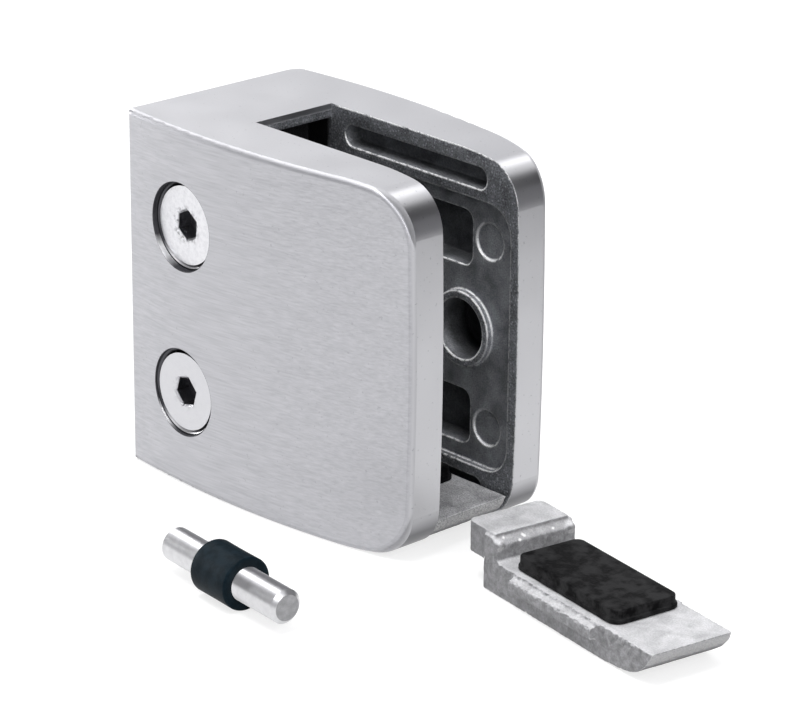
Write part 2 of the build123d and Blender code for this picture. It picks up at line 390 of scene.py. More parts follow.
        # Painted highlight: the wear is strongest on edges that face up.
        painted_light = add_node(tree, "ShaderNodeSeparateXYZ", {0: soft_edge}, output="Z")
        painted_light = add_node(tree, "ShaderNodeMapRange", {0: painted_light, FROM: self.wear_facing, TO: self.wear_highlight})
        for share in (patchy, raised, past_web, painted_light):
            rubbed = add_node(tree, "ShaderNodeMath", {0: rubbed, 1: share}, operation="MULTIPLY")
        colour = add_node(tree, "ShaderNodeMix", {0: rubbed, COLOURS: (skin[0], srgb(self.worn))}, output=2,
                          data_type="RGBA")
        rough = add_node(tree, "ShaderNodeMix", {0: rubbed, NUMBERS: (skin[1], self.worn_rough)})
        return colour, rough, rubbed

    def inside_mask(self, tree: Tree, place: Socket,
                    normal: Socket) -> tuple[Socket, Socket, tuple[Socket, Socket, Socket, Socket]]:
        """Tell the as-cast skin from the ground outside by its place and its facing.

        Args:
            tree: Node tree of the material.
            place: Point on the piece.
            normal: Facing of the surface.

        Returns:
            1 on the as-cast skin, the depth below the inner face in metres, and how far the place
            reaches past the middle of the outline's corners: along, up, in all, and into the droop.
        """
        x = add_node(tree, "ShaderNodeSeparateXYZ", {0: place})
        y, z = x.node.outputs[1], x.node.outputs[2]
        rise = add_node(tree, "ShaderNodeMath", {0: z}, operation="ABSOLUTE")
        run = add_node(tree, "ShaderNodeMath", {0: x, 1: self.droop_start}, operation="SUBTRACT")
        run = add_node(tree, "ShaderNodeMath", {0: run, 1: 0.0}, operation="MAXIMUM")
        drop = add_node(tree, "ShaderNodeMath", {0: run, 1: run}, operation="MULTIPLY")
        rise = add_node(tree, "ShaderNodeMath", {0: drop, 1: 0.5 / self.droop_radius, 2: rise},
                        operation="MULTIPLY_ADD")
        crown = add_node(tree, "ShaderNodeMath", {0: z, 1: z}, operation="MULTIPLY")
        reach = add_node(tree, "ShaderNodeMath",
                         {0: crown, 1: self.end_bulge / self.outline_half**2, 2: x}, operation="MULTIPLY_ADD")
        past_x = add_node(tree, "ShaderNodeMath", {0: reach, 1: self.outline_end - self.corner},
                          operation="SUBTRACT")
        past_x = add_node(tree, "ShaderNodeMath", {0: past_x, 1: 0.0}, operation="MAXIMUM")
        past_z = add_node(tree, "ShaderNodeMath", {0: rise, 1: self.outline_half - self.corner},
                          operation="SUBTRACT")
        past_z = add_node(tree, "ShaderNodeMath", {0: past_z, 1: 0.0}, operation="MAXIMUM")
        past = add_node(tree, "ShaderNodeCombineXYZ", {0: past_x, 1: past_z})
        past = add_node(tree, "ShaderNodeVectorMath", {0: past}, output="Value", operation="LENGTH")
        border = (self.corner - self.skin, self.corner - self.skin_fade * self.skin)
        within = add_node(tree, "ShaderNodeMapRange", {0: past, FROM: border, TO: FALLING})
        from_post = add_node(tree, "ShaderNodeMapRange", {0: x, FROM: (0.5 * self.skin, self.skin)})
        within = add_node(tree, "ShaderNodeMath", {0: within, 1: from_post}, operation="MULTIPLY")
        facing = add_node(tree, "ShaderNodeSeparateXYZ", {0: normal}, output="Y")
        facing = add_node(tree, "ShaderNodeMath", {0: facing, 1: self.side}, operation="MULTIPLY")
        not_out = add_node(tree, "ShaderNodeMath", {0: facing, 1: self.outward_facing},
                           operation="LESS_THAN")
        slotward = add_node(tree, "ShaderNodeMath", {0: facing, 1: -self.outward_facing},
                            operation="LESS_THAN")
        cast = add_node(tree, "ShaderNodeMath", {0: within, 1: not_out}, operation="MULTIPLY")
        cast = add_node(tree, "ShaderNodeMath", {0: cast, 1: slotward}, operation="MAXIMUM")
        depth = add_node(tree, "ShaderNodeMath", {0: y, 1: self.side, 2: -self.slot_half},
                         operation="MULTIPLY_ADD")
        return cast, depth, (past_x, past_z, past, run)

    def rounded_rim(self, tree: Tree, place: Socket, normal: Socket,
                    reach: tuple[Socket, Socket, Socket, Socket]) -> tuple[Socket, Socket]:
        """Turn the facing evenly across the ground rounding between the rim and the broad face.

        Args:
            tree: Node tree of the material.
            place: Point on the piece.
            normal: Facing of the surface.
            reach: How far the place reaches past the middle of the outline's corners.

        Returns:
            Facing of the surface, even on the rounding, and 1 on the rounding.
        """
        past_x, past_z, past, run = reach
        x = add_node(tree, "ShaderNodeSeparateXYZ", {0: place})
        z = x.node.outputs[2]
        up = add_node(tree, "ShaderNodeMath", {0: z}, operation="SIGN")
        droop = add_node(tree, "ShaderNodeMath", {0: run, 1: 1 / self.droop_radius}, operation="MULTIPLY")
        along = add_node(tree, "ShaderNodeMath", {0: past_z, 1: droop, 2: past_x}, operation="MULTIPLY_ADD")
        crown = add_node(tree, "ShaderNodeMath", {0: z, 1: 2 * self.end_bulge / self.outline_half**2},
                         operation="MULTIPLY")
        rise = add_node(tree, "ShaderNodeMath", {0: past_x, 1: crown}, operation="MULTIPLY")
        rise = add_node(tree, "ShaderNodeMath", {0: past_z, 1: up, 2: rise}, operation="MULTIPLY_ADD")
        rim = add_node(tree, "ShaderNodeCombineXYZ", {0: along, 2: rise})
        rim = add_node(tree, "ShaderNodeVectorMath", {0: rim}, operation="NORMALIZE")
        start_lean = self.face_slope - 0.5 * self.outline_end / self.face_bow
        lean = add_node(tree, "ShaderNodeMath", {0: x, 1: 1 / self.face_bow, 2: start_lean},
                        operation="MULTIPLY_ADD")
        broad = add_node(tree, "ShaderNodeCombineXYZ", {0: lean, 1: self.side})
        broad = add_node(tree, "ShaderNodeVectorMath", {0: broad}, operation="NORMALIZE")
        border = (self.corner - self.rim_radius, self.corner)
        share = add_node(tree, "ShaderNodeMapRange", {0: past, FROM: border})
        rest = add_node(tree, "ShaderNodeMath", {0: share, 1: share}, operation="MULTIPLY")
        rest = add_node(tree, "ShaderNodeMath", {0: 1.0, 1: rest}, operation="SUBTRACT")
        rest = add_node(tree, "ShaderNodeMath", {0: rest}, operation="SQRT")
        rim = add_node(tree, "ShaderNodeVectorMath", {0: rim, "Scale": share}, operation="SCALE")
        broad = add_node(tree, "ShaderNodeVectorMath", {0: broad, "Scale": rest}, operation="SCALE")
        even = add_node(tree, "ShaderNodeVectorMath", {0: rim, 1: broad}, operation="ADD")
        outward = add_node(tree, "ShaderNodeSeparateXYZ", {0: normal}, output="Y")
        outward = add_node(tree, "ShaderNodeMath", {0: outward, 1: self.side}, operation="MULTIPLY")
        use = add_node(tree, "ShaderNodeMath", {0: outward, 1: self.rim_facing}, operation="GREATER_THAN")
        for value, least in ((share, self.rim_start), (x, self.skin)):
            above = add_node(tree, "ShaderNodeMath", {0: value, 1: least}, operation="GREATER_THAN")
            use = add_node(tree, "ShaderNodeMath", {0: use, 1: above}, operation="MULTIPLY")
        true_facing = add_node(tree, "ShaderNodeNewGeometry", output="Normal")
        facing = add_node(tree, "ShaderNodeMix", {0: use, FACINGS: (true_facing, even)}, output=1,
                          data_type="VECTOR")
        return facing, use

    def brushed_skin(self, tree: Tree, place: Socket, broad: Socket,
                     rounding: Socket) -> tuple[Socket, Socket, Socket]:
        """Fine streaks along the clamp on its broad face, a smoother satin round the rim, and painted shade
        on faces that turn down.

        Args:
            tree: Node tree of the material.
            place: Point on the piece.
            broad: 1 on the broad outer face and 0 on the rim.
            rounding: 1 on the rounding between the two.

        Returns:
            Colour, roughness and height in metres.
        """
        lay = add_node(tree, "ShaderNodeMapping", {"Vector": place, "Rotation": (0.0, self.slant, 0.0)})
        lay = add_node(tree, "ShaderNodeVectorMath", {0: lay, 1: per_size(self.streak_sizes_mm)},
                       operation="MULTIPLY")
        long_lay = add_node(tree, "ShaderNodeVectorMath", {0: place, 1: per_size(self.band_sizes_mm)},
                            operation="MULTIPLY")
        streaks, bands, cloud, pits = [
            add_node(tree, "ShaderNodeTexNoise", pattern.inputs(spot)) for pattern, spot in
            ((self.streaks, lay), (self.bands, long_lay), (self.clouds, place), (self.pits, place))]
        pits = add_node(tree, "ShaderNodeMapRange", {0: pits, FROM: self.pit_range})
        amount = add_node(tree, "ShaderNodeMapRange", {0: streaks, FROM: self.streak_range})
        on_broad = add_node(tree, "ShaderNodeMath", {0: amount, 1: broad}, operation="MULTIPLY")
        band_mix = add_node(tree, "ShaderNodeMath", {0: bands, 1: self.band_share}, operation="MULTIPLY")
        pale = add_node(tree, "ShaderNodeMath", {0: on_broad, 1: 1 - self.band_share, 2: band_mix},
                        operation="MULTIPLY_ADD")
        greys = (srgb(self.brushed_dark), srgb(self.brushed))
        grey = add_node(tree, "ShaderNodeMix", {0: pale, COLOURS: greys}, output=2, data_type="RGBA")
        # Painted shade: faces that turn down, off the rounding, take a darker grey.
        under = add_node(tree, "ShaderNodeTexCoord", output="Normal")
        under = add_node(tree, "ShaderNodeSeparateXYZ", {0: under}, output="Z")
        under = add_node(tree, "ShaderNodeMapRange", {0: under, FROM: self.under_facing})
        flat = add_node(tree, "ShaderNodeMath", {0: 1.0, 1: rounding}, operation="SUBTRACT")
        under = add_node(tree, "ShaderNodeMath", {0: under, 1: flat}, operation="MULTIPLY")
        colour = srgb(self.satin)
        for share, layer in ((broad, grey), (pits, srgb(self.brushed_dark)), (under, srgb(self.underside_shade))):
            colour = add_node(tree, "ShaderNodeMix", {0: share, COLOURS: (colour, layer)}, output=2,
                              data_type="RGBA")
        rough = add_node(tree, "ShaderNodeMapRange", {0: amount, TO: self.streak_rough})
        rim_rough = add_node(tree, "ShaderNodeMapRange", {0: cloud, FROM: self.cloud_range,
                                                          TO: self.rim_rough})
        rough = add_node(tree, "ShaderNodeMix", {0: broad, NUMBERS: (rim_rough, rough)})
        rough = add_node(tree, "ShaderNodeMix", {0: rounding, NUMBERS: (rough, self.rounding_rough)})
        height = add_node(tree, "ShaderNodeMath", {0: on_broad, 1: self.streak_height}, operation="MULTIPLY")
        height = add_node(tree, "ShaderNodeMath", {0: cloud, 1: self.cloud_height, 2: height},
                          operation="MULTIPLY_ADD")
        return colour, rough, height

    def cast_skin(self, tree: Tree, place: Socket, depth: Socket) -> tuple[Socket, Socket, Socket]:
        """Dark grain of the ceramic shell, paler on the land, and darker in the deep recesses as painted
        shade.

        Args:
            tree: Node tree of the material.
            place: Point on the piece.
            depth: Depth below the inner face in metres.

        Returns:
            Colour, roughness and height in metres.
        """
        grain = add_node(tree, "ShaderNodeTexNoise", self.grain.inputs(place))
        patch = add_node(tree, "ShaderNodeTexNoise", self.patches.inputs(place))
        speck = add_node(tree, "ShaderNodeTexVoronoi", {"Vector": place, "Scale": 1 / (self.speck_mm * MM)},
                         output="Distance")
        speck = add_node(tree, "ShaderNodeMapRange", {0: speck, FROM: self.speck_range, TO: FALLING})
        on_land = add_node(tree, "ShaderNodeMapRange", {0: depth, FROM: self.land_depths, TO: FALLING})
        deep_seats, buried_seats = [[seats * self.seat_depth for seats in span]
                                    for span in (self.deep_seats, self.buried_seats)]
        # Painted shade: the grey darkens with depth in the recesses.
        deep = add_node(tree, "ShaderNodeMapRange", {0: depth, FROM: deep_seats})
        colour = srgb(self.seat)
        for share, layer in ((on_land, self.land), (deep, self.deep)):
            colour = add_node(tree, "ShaderNodeMix", {0: share, COLOURS: (colour, srgb(layer))}, output=2,
                              data_type="RGBA")
        seat_shade, land_shade = [
            add_node(tree, "ShaderNodeMapRange", {0: grain, FROM: self.grain_range, TO: swing})
            for swing in (self.seat_shade, self.land_shade)]
        shade = add_node(tree, "ShaderNodeMix", {0: on_land, NUMBERS: (seat_shade, land_shade)})
        patch_shade = add_node(tree, "ShaderNodeMapRange", {0: patch, FROM: self.patch_range,
                                                            TO: self.patch_shade})
        shade = add_node(tree, "ShaderNodeMath", {0: shade, 1: patch_shade}, operation="MULTIPLY")
        bright = add_node(tree, "ShaderNodeMapRange", {0: on_land, TO: (self.speck_in_seat, 1.0)})
        bright = add_node(tree, "ShaderNodeMath", {0: speck, 1: bright}, operation="MULTIPLY")
        shade = add_node(tree, "ShaderNodeMath", {0: bright, 1: self.speck_gain, 2: shade},
                         operation="MULTIPLY_ADD")
        colour = add_node(tree, "ShaderNodeVectorMath", {0: colour, "Scale": shade}, operation="SCALE")
        # Painted shade: near black where the slot ends at the web and deep in the pockets and bore.
        along = add_node(tree, "ShaderNodeSeparateXYZ", {0: place}, output="X")
        at_web = [self.web_face - before for before in self.shut_before_web]
        shut = add_node(tree, "ShaderNodeMapRange", {0: along, FROM: at_web, TO: FALLING})
        buried = add_node(tree, "ShaderNodeMapRange", {0: depth, FROM: buried_seats,
                                                       TO: (0.0, self.buried_share)})
        shut = add_node(tree, "ShaderNodeMath", {0: shut, 1: buried}, operation="MAXIMUM")
        colour = add_node(tree, "ShaderNodeMix", {0: shut, COLOURS: (colour, srgb(self.shut_in_shade))}, output=2,
                          data_type="RGBA")
        rough = add_node(tree, "ShaderNodeMapRange", {0: grain, TO: self.grain_rough})
        height = add_node(tree, "ShaderNodeMath", {0: grain, 1: self.grain_height}, operation="MULTIPLY")
        return colour, rough, height


@dataclass(frozen=True)
class TurnedScrewSteel:
    """Stainless steel, cold headed and turned, bright with faint rings, a dark socket and a painted shade on
    its flank.

    The turning rings of a real head are about 0.05 mm apart, and are drawn coarser here so that they show.
    """

    name: str
    centre: Point
    burr: float
    bright: str
    dull: str = "#C2C2C6"
    scuffed: str = "#707074"
    flank: str = "#3E3E42"
    socket: str = "#6E6E72"
    ring_mm: float = 0.16
    rings: Pattern = Pattern(0.0, 2.0)
    marks: Pattern = Pattern(0.8, 5.0, 0.7)
    scratch_sizes_mm: Point = (1.6, 1.6, 0.12)
    scratches: Pattern = Pattern(0.0, 2.0)
    scratch_range: Span = (0.66, 0.72)
    # The socket, the burred ring round it and the flank under the head's face, darkened as painted shade.
    socket_radius: float = 2.45 * MM
    socket_edge: float = 1.05
    socket_depths: Span = (0.12 * MM, 0.5 * MM)
    burr_ring: Span = (-0.5 * MM, 0.7 * MM)
    burr_range: Span = (0.48, 0.60)
    flank_depths: Span = (0.04 * MM, 0.10 * MM)
    flank_ring: Span = (1.1, 1.15)
    dull_range: Span = (0.42, 0.80)
    ring_range: Span = (0.3, 0.7)
    ring_rough: Span = (0.285, 0.37)
    scratch_rough: float = 0.2
    ring_height: float = 0.006 * MM
    scratch_height: float = -0.006 * MM
    burr_height: float = -0.05 * MM

    def dress(self, piece: bpy.types.Object) -> None:
        """Give the finish to a piece.

        Args:
            piece: Screw that takes it.
        """
        material, tree = new_material(self.name)
        place = add_node(tree, "ShaderNodeTexCoord", output="Object")
        off = add_node(tree, "ShaderNodeVectorMath", {0: place, 1: self.centre}, operation="SUBTRACT")
        flat = add_node(tree, "ShaderNodeVectorMath", {0: off, 1: ALONG_FACE}, operation="MULTIPLY")
        radius = add_node(tree, "ShaderNodeVectorMath", {0: flat}, output="Value", operation="LENGTH")
        depth = add_node(tree, "ShaderNodeSeparateXYZ", {0: off}, output="Y")
        ring_place = add_node(tree, "ShaderNodeMath", {0: radius, 1: 1 / (self.ring_mm * MM)},
                              operation="MULTIPLY")
        rings = add_node(tree, "ShaderNodeTexNoise", self.rings.inputs(ring_place, "W"),
                         noise_dimensions="1D")
        marks = add_node(tree, "ShaderNodeTexNoise", self.marks.inputs(place))
        scratch_place = add_node(tree, "ShaderNodeVectorMath",
                                 {0: place, 1: per_size(self.scratch_sizes_mm)}, operation="MULTIPLY")
        scratches = add_node(tree, "ShaderNodeTexNoise", self.scratches.inputs(scratch_place))
        scratches = add_node(tree, "ShaderNodeMapRange", {0: scratches, FROM: self.scratch_range})
        socket_end = (self.socket_radius, self.socket_edge * self.socket_radius)
        in_socket = add_node(tree, "ShaderNodeMapRange", {0: depth, FROM: self.socket_depths})
        near_axis = add_node(tree, "ShaderNodeMapRange", {0: radius, FROM: socket_end, TO: FALLING})
        in_socket = add_node(tree, "ShaderNodeMath", {0: in_socket, 1: near_axis}, operation="MULTIPLY")
        burr_ring = [self.socket_radius + past for past in self.burr_ring]
        worn = add_node(tree, "ShaderNodeMapRange", {0: radius, FROM: burr_ring, TO: FALLING})
        worn_marks = add_node(tree, "ShaderNodeMapRange", {0: marks, FROM: self.burr_range})
        for share in (worn_marks, self.burr):
            worn = add_node(tree, "ShaderNodeMath", {0: worn, 1: share}, operation="MULTIPLY")
        tint = add_node(tree, "ShaderNodeMapRange", {0: marks, FROM: self.dull_range})
        # Painted shade: the flank under the head's face turns dark.
        below = add_node(tree, "ShaderNodeMapRange", {0: depth, FROM: self.flank_depths})
        flank_ring = [past * self.socket_radius for past in self.flank_ring]
        outward = add_node(tree, "ShaderNodeMapRange", {0: radius, FROM: flank_ring})
        flank = add_node(tree, "ShaderNodeMath", {0: below, 1: outward}, operation="MULTIPLY")
        colour = srgb(self.bright)
        for share, layer in ((tint, self.dull), (worn, self.scuffed), (flank, self.flank),
                             (in_socket, self.socket)):
            colour = add_node(tree, "ShaderNodeMix", {0: share, COLOURS: (colour, srgb(layer))}, output=2,
                              data_type="RGBA")
        rough = add_node(tree, "ShaderNodeMapRange", {0: rings, FROM: self.ring_range, TO: self.ring_rough})
        rough = add_node(tree, "ShaderNodeMath", {0: scratches, 1: self.scratch_rough, 2: rough},
                         operation="MULTIPLY_ADD")
        height = add_node(tree, "ShaderNodeMath", {0: rings, 1: self.ring_height}, operation="MULTIPLY")
        for pattern, rise in ((scratches, self.scratch_height), (worn, self.burr_height)):
            height = add_node(tree, "ShaderNodeMath", {0: pattern, 1: rise, 2: height},
                              operation="MULTIPLY_ADD")
        bump = add_node(tree, "ShaderNodeBump", {"Strength": 1.0, "Distance": 1.0, "Height": height})
        finish_material(tree, {"Base Color": colour, "Metallic": 1.0, "Roughness": rough, "Normal": bump})
        piece.data.materials[0] = material


@dataclass(frozen=True)
class DieCastZinc:
    """Zinc, pressure die cast and tumbled, a pale dull skin with flow marks and bright rubbed edges, and
    painted shade by facing.

    The grain of the real skin is about 0.1 mm, and is drawn coarser here so that it shows.
    """

    name: str = "die_cast_zinc"
    pale: str = "#BEBEC0"
    shade: str = "#9A9A9C"
    # Painted light by facing: upright faces darker, the nose lighter, faces that turn down darkest.
    drawn: str = "#7A7A7C"
    nose: str = "#9A9A9B"
    underside_shade: str = "#3C3C3E"
    rubbed: str = "#DEDEDE"
    metal: float = 0.25
    # Fine grain, flow marks on the level faces and mottled upright faces, their darker grey painted shade.
    grain: Pattern = Pattern(0.24, 4.0, 0.65)
    flow: Pattern = Pattern(2.8, 3.0, swirl=0.6)
    mottle: Pattern = Pattern(1.1, 4.0, 0.65, 0.4)
    flow_range: Span = (0.35, 0.75)
    mottle_range: Span = (0.35, 0.65)
    mottle_shade: Span = (0.72, 1.30)
    fine_range: Span = (0.38, 0.62)
    fine_middle: float = 0.96
    speckle: float = 0.16
    # Facings, as the share of the normal along an axis.
    level_facing: Span = (0.35, 0.85)
    nose_ahead: Span = (0.30, 0.55)
    nose_lean: Span = (-0.05, -0.20)
    under_facing: Span = (-0.60, -0.78)
    sharpness: Span = (0.53, 0.64)
    grain_range: Span = (0.3, 0.7)
    grain_rough: Span = (0.46, 0.66)
    rubbed_rough: float = -0.12
    grain_height: float = 0.05 * MM

    def dress(self, piece: bpy.types.Object) -> None:
        """Give the finish to a piece.

        Args:
            piece: Plate that takes it.
        """
        material, tree = new_material(self.name)
        place = add_node(tree, "ShaderNodeTexCoord", output="Object")
        grain, flow, mottle = [add_node(tree, "ShaderNodeTexNoise", pattern.inputs(place))
                               for pattern in (self.grain, self.flow, self.mottle)]
        tint = add_node(tree, "ShaderNodeMapRange", {0: flow, FROM: self.flow_range})
        top = add_node(tree, "ShaderNodeMix", {0: tint, COLOURS: (srgb(self.pale), srgb(self.shade))},
                       output=2, data_type="RGBA")
        normal = add_node(tree, "ShaderNodeTexCoord", output="Normal")
        upward = add_node(tree, "ShaderNodeSeparateXYZ", {0: normal}, output="Z")
        level = add_node(tree, "ShaderNodeMapRange", {0: upward, FROM: self.level_facing})
        mottle = add_node(tree, "ShaderNodeMapRange", {0: mottle, FROM: self.mottle_range,
                                                       TO: self.mottle_shade})
        colour = add_node(tree, "ShaderNodeVectorMath", {0: srgb(self.drawn)[:3], "Scale": mottle},
                          operation="SCALE")
        ahead = add_node(tree, "ShaderNodeMapRange", {0: upward.node.outputs[0], FROM: self.nose_ahead})
        leaning = add_node(tree, "ShaderNodeMapRange", {0: upward, FROM: self.nose_lean})
        ahead = add_node(tree, "ShaderNodeMath", {0: ahead, 1: leaning}, operation="MULTIPLY")
        under = add_node(tree, "ShaderNodeMapRange", {0: upward, FROM: self.under_facing})
        # Painted light by facing: level faces pale, the nose lighter, faces that turn down dark as shade.
        for share, layer in ((level, top), (ahead, srgb(self.nose)), (under, srgb(self.underside_shade))):
            colour = add_node(tree, "ShaderNodeMix", {0: share, COLOURS: (colour, layer)}, output=2,
                              data_type="RGBA")
        swing = (self.fine_middle - self.speckle, self.fine_middle + self.speckle)
        fine = add_node(tree, "ShaderNodeMapRange", {0: grain, FROM: self.fine_range, TO: swing})
        colour = add_node(tree, "ShaderNodeVectorMath", {0: colour, "Scale": fine}, operation="SCALE")
        sharp = add_node(tree, "ShaderNodeNewGeometry", output="Pointiness")
        rubbed = add_node(tree, "ShaderNodeMapRange", {0: sharp, FROM: self.sharpness})
        colour = add_node(tree, "ShaderNodeMix", {0: rubbed, COLOURS: (colour, srgb(self.rubbed))}, output=2,
                          data_type="RGBA")
        rough = add_node(tree, "ShaderNodeMapRange", {0: grain, FROM: self.grain_range,
                                                      TO: self.grain_rough})
        rough = add_node(tree, "ShaderNodeMath", {0: rubbed, 1: self.rubbed_rough, 2: rough},
                         operation="MULTIPLY_ADD")
        height = add_node(tree, "ShaderNodeMath", {0: grain, 1: self.grain_height}, operation="MULTIPLY")
        bump = add_node(tree, "ShaderNodeBump", {"Strength": 1.0, "Distance": 1.0, "Height": height})
        finish_material(tree, {"Base Color": colour, "Metallic": self.metal, "Roughness": rough,
                               "Normal": bump})
        piece.data.materials.clear()
        piece.data.materials.append(material)


@dataclass(frozen=True)
class GroundPinSteel:
    """Stainless steel bar, ground between centres, bright with hair-fine rings and duller sawn ends.

    The real grinding rings are about 0.02 mm apart, and are drawn coarser here so that they show.
    """

    name: str
    centre: Point
    turn: float
    half_length: float
    bright: str = "#D2D2D4"
    end_grey: str = "#9C9C9E"
    end_skin: Span = (-0.02 * MM, -0.01 * MM)
    ring_mm: float = 0.14
    rings: Pattern = Pattern(0.0, 2.0)
    marks: Pattern = Pattern(1.1, 4.0, 0.7)
    mark_range: Span = (0.3, 0.8)
    mark_shade: Span = (1.0, 0.8)
    sawn_range: Span = (0.36, 0.64)
    sawn_shade: Span = (1.10, 0.84)
    ring_range: Span = (0.3, 0.7)
    ring_rough: Span = (0.285, 0.36)
    end_rough: float = 0.22
    ring_height: float = 0.001 * MM
    mark_height: float = 0.008 * MM

    def dress(self, piece: bpy.types.Object) -> None:
        """Give the finish to a piece.

        Args:
            piece: Pin that takes it.
        """
        material, tree = new_material(self.name)
        place = add_node(tree, "ShaderNodeTexCoord", output="Object")
        off = add_node(tree, "ShaderNodeVectorMath", {0: place, 1: self.centre}, operation="SUBTRACT")
        own = add_node(tree, "ShaderNodeVectorRotate", {"Vector": off, "Angle": -self.turn},
                       rotation_type="Z_AXIS")
        along = add_node(tree, "ShaderNodeSeparateXYZ", {0: own}, output="X")
        from_middle = add_node(tree, "ShaderNodeMath", {0: along}, operation="ABSOLUTE")
        end_skin = [self.half_length + past for past in self.end_skin]
        at_end = add_node(tree, "ShaderNodeMapRange", {0: from_middle, FROM: end_skin})
        ring_place = add_node(tree, "ShaderNodeMath", {0: along, 1: 1 / (self.ring_mm * MM)},
                              operation="MULTIPLY")
        rings = add_node(tree, "ShaderNodeTexNoise", self.rings.inputs(ring_place, "W"),
                         noise_dimensions="1D")
        marks = add_node(tree, "ShaderNodeTexNoise", self.marks.inputs(own))
        greys = (srgb(self.bright), srgb(self.end_grey))
        colour = add_node(tree, "ShaderNodeMix", {0: at_end, COLOURS: greys}, output=2, data_type="RGBA")
        tint = add_node(tree, "ShaderNodeMapRange", {0: marks, FROM: self.mark_range, TO: self.mark_shade})
        sawn = add_node(tree, "ShaderNodeMapRange", {0: marks, FROM: self.sawn_range, TO: self.sawn_shade})
        tint = add_node(tree, "ShaderNodeMix", {0: at_end, NUMBERS: (tint, sawn)})
        colour = add_node(tree, "ShaderNodeVectorMath", {0: colour, "Scale": tint}, operation="SCALE")
        rough = add_node(tree, "ShaderNodeMapRange", {0: rings, FROM: self.ring_range, TO: self.ring_rough})
        rough = add_node(tree, "ShaderNodeMath", {0: at_end, 1: self.end_rough, 2: rough},
                         operation="MULTIPLY_ADD")
        height = add_node(tree, "ShaderNodeMath", {0: rings, 1: self.ring_height}, operation="MULTIPLY")
        height = add_node(tree, "ShaderNodeMath", {0: marks, 1: self.mark_height, 2: height},
                          operation="MULTIPLY_ADD")
        bump = add_node(tree, "ShaderNodeBump", {"Strength": 1.0, "Distance": 1.0, "Height": height})
        finish_material(tree, {"Base Color": colour, "Metallic": 1.0, "Roughness": rough, "Normal": bump})
        piece.data.materials[0] = material


@dataclass(frozen=True)
class MouldedRubber:
    """Black rubber, moulded or extruded, matt with a dusty bloom and a fine grain.

    The real grain is about 0.1 mm, and is drawn coarser here so that it shows.
    """

    name: str
    base: str
    bloom_grey: str
    rough: Span
    bloom: Pattern
    grain: Pattern
    grain_height: float
    gloss: float
    gloss_play: float
    refraction: float = 1.52
    dust_range: Span = (0.40, 0.65)
    bloom_range: Span = (0.3, 0.7)
    gloss_range: Span = (0.40, 0.60)

    def dress(self, piece: bpy.types.Object) -> None:
        """Give the finish to a piece.

        Args:
            piece: Rubber piece that takes it.
        """
        material, tree = new_material(self.name)
        place = add_node(tree, "ShaderNodeTexCoord", output="Object")
        bloom = add_node(tree, "ShaderNodeTexNoise", self.bloom.inputs(place))
        grain = add_node(tree, "ShaderNodeTexNoise", self.grain.inputs(place))
        dust = add_node(tree, "ShaderNodeMapRange", {0: bloom, FROM: self.dust_range},
                        interpolation_type="SMOOTHSTEP")
        colour = add_node(tree, "ShaderNodeMix", {0: dust, COLOURS: (srgb(self.base), srgb(self.bloom_grey))},
                          output=2, data_type="RGBA")
        rough = add_node(tree, "ShaderNodeMapRange", {0: bloom, FROM: self.bloom_range, TO: self.rough})
        height = add_node(tree, "ShaderNodeMath", {0: grain, 1: self.grain_height}, operation="MULTIPLY")
        bump = add_node(tree, "ShaderNodeBump", {"Strength": 1.0, "Distance": 1.0, "Height": height})
        swing = ((1 - self.gloss_play) * self.gloss, (1 + self.gloss_play) * self.gloss)
        gloss = add_node(tree, "ShaderNodeMapRange", {0: bloom, FROM: self.gloss_range, TO: swing})
        finish_material(tree, {"Base Color": colour, "Metallic": 0.0, "Roughness": rough,
                               "IOR": self.refraction, "Specular IOR Level": gloss, "Normal": bump})
        piece.data.materials.clear()
        piece.data.materials.append(material)


def mesh_object(name: str, rings: list[list[Vector]], closed: bool) -> bpy.types.Object:
    """Skin a stack of rings, and cap its first and last ring or join them.

    Args:
        name: Name of the piece.
        rings: Rings of points, all of the same length.
        closed: True where the last ring joins the first, as on a tube.

    Returns:
        The new object, smooth shaded.
    """
    shape = bmesh.new()
    grid = [[shape.verts.new(point) for point in ring] for ring in rings]
    count = len(rings[0])
    pairs = list(zip(grid, grid[1:]))
    if closed:
        pairs.append((grid[-1], grid[0]))
    for low, high in pairs:
        for i in range(count):
            j = (i + 1) % count
            shape.faces.new((low[i], low[j], high[j], high[i]))
    if not closed:
        shape.faces.new(list(reversed(grid[0])))
        shape.faces.new(grid[-1])
    bmesh.ops.recalc_face_normals(shape, faces=shape.faces)
    mesh = bpy.data.meshes.new(name)
    shape.to_mesh(mesh)
    shape.free()
    for face in mesh.polygons:
        face.use_smooth = True
    piece = bpy.data.objects.new(name, mesh)
    bpy.context.scene.collection.objects.link(piece)
    return piece


def rounded_ring(length: float, width: float, radius: float, steps: int, corner_steps: int) -> list[Vector]:
    """Points round a rectangle with round corners, about the origin.

    Args:
        length: Size along X.
        width: Size along Y.
        radius: Radius of the corners.
        steps: Points along each straight side.
        corner_steps: Points round each corner.

    Returns:
        The points, in order.
    """
    points: list[Vector] = []
    centres = [(length / 2 - radius, width / 2 - radius, 0), (radius - length / 2, width / 2 - radius, 90),
               (radius - length / 2, radius - width / 2, 180), (length / 2 - radius, radius - width / 2, 270)]
    arcs = []
    for x, y, start in centres:
        arc = []
        for i in range(corner_steps + 1):
            angle = math.radians(start + 90 * i / corner_steps)
            arc.append(Vector((x + radius * math.cos(angle), y + radius * math.sin(angle), 0)))
        arcs.append(arc)
    for arc, following in zip(arcs, arcs[1:] + arcs[:1]):
        points.extend(arc)
        for i in range(1, steps):
            points.append(arc[-1].lerp(following[0], i / steps))
    return points


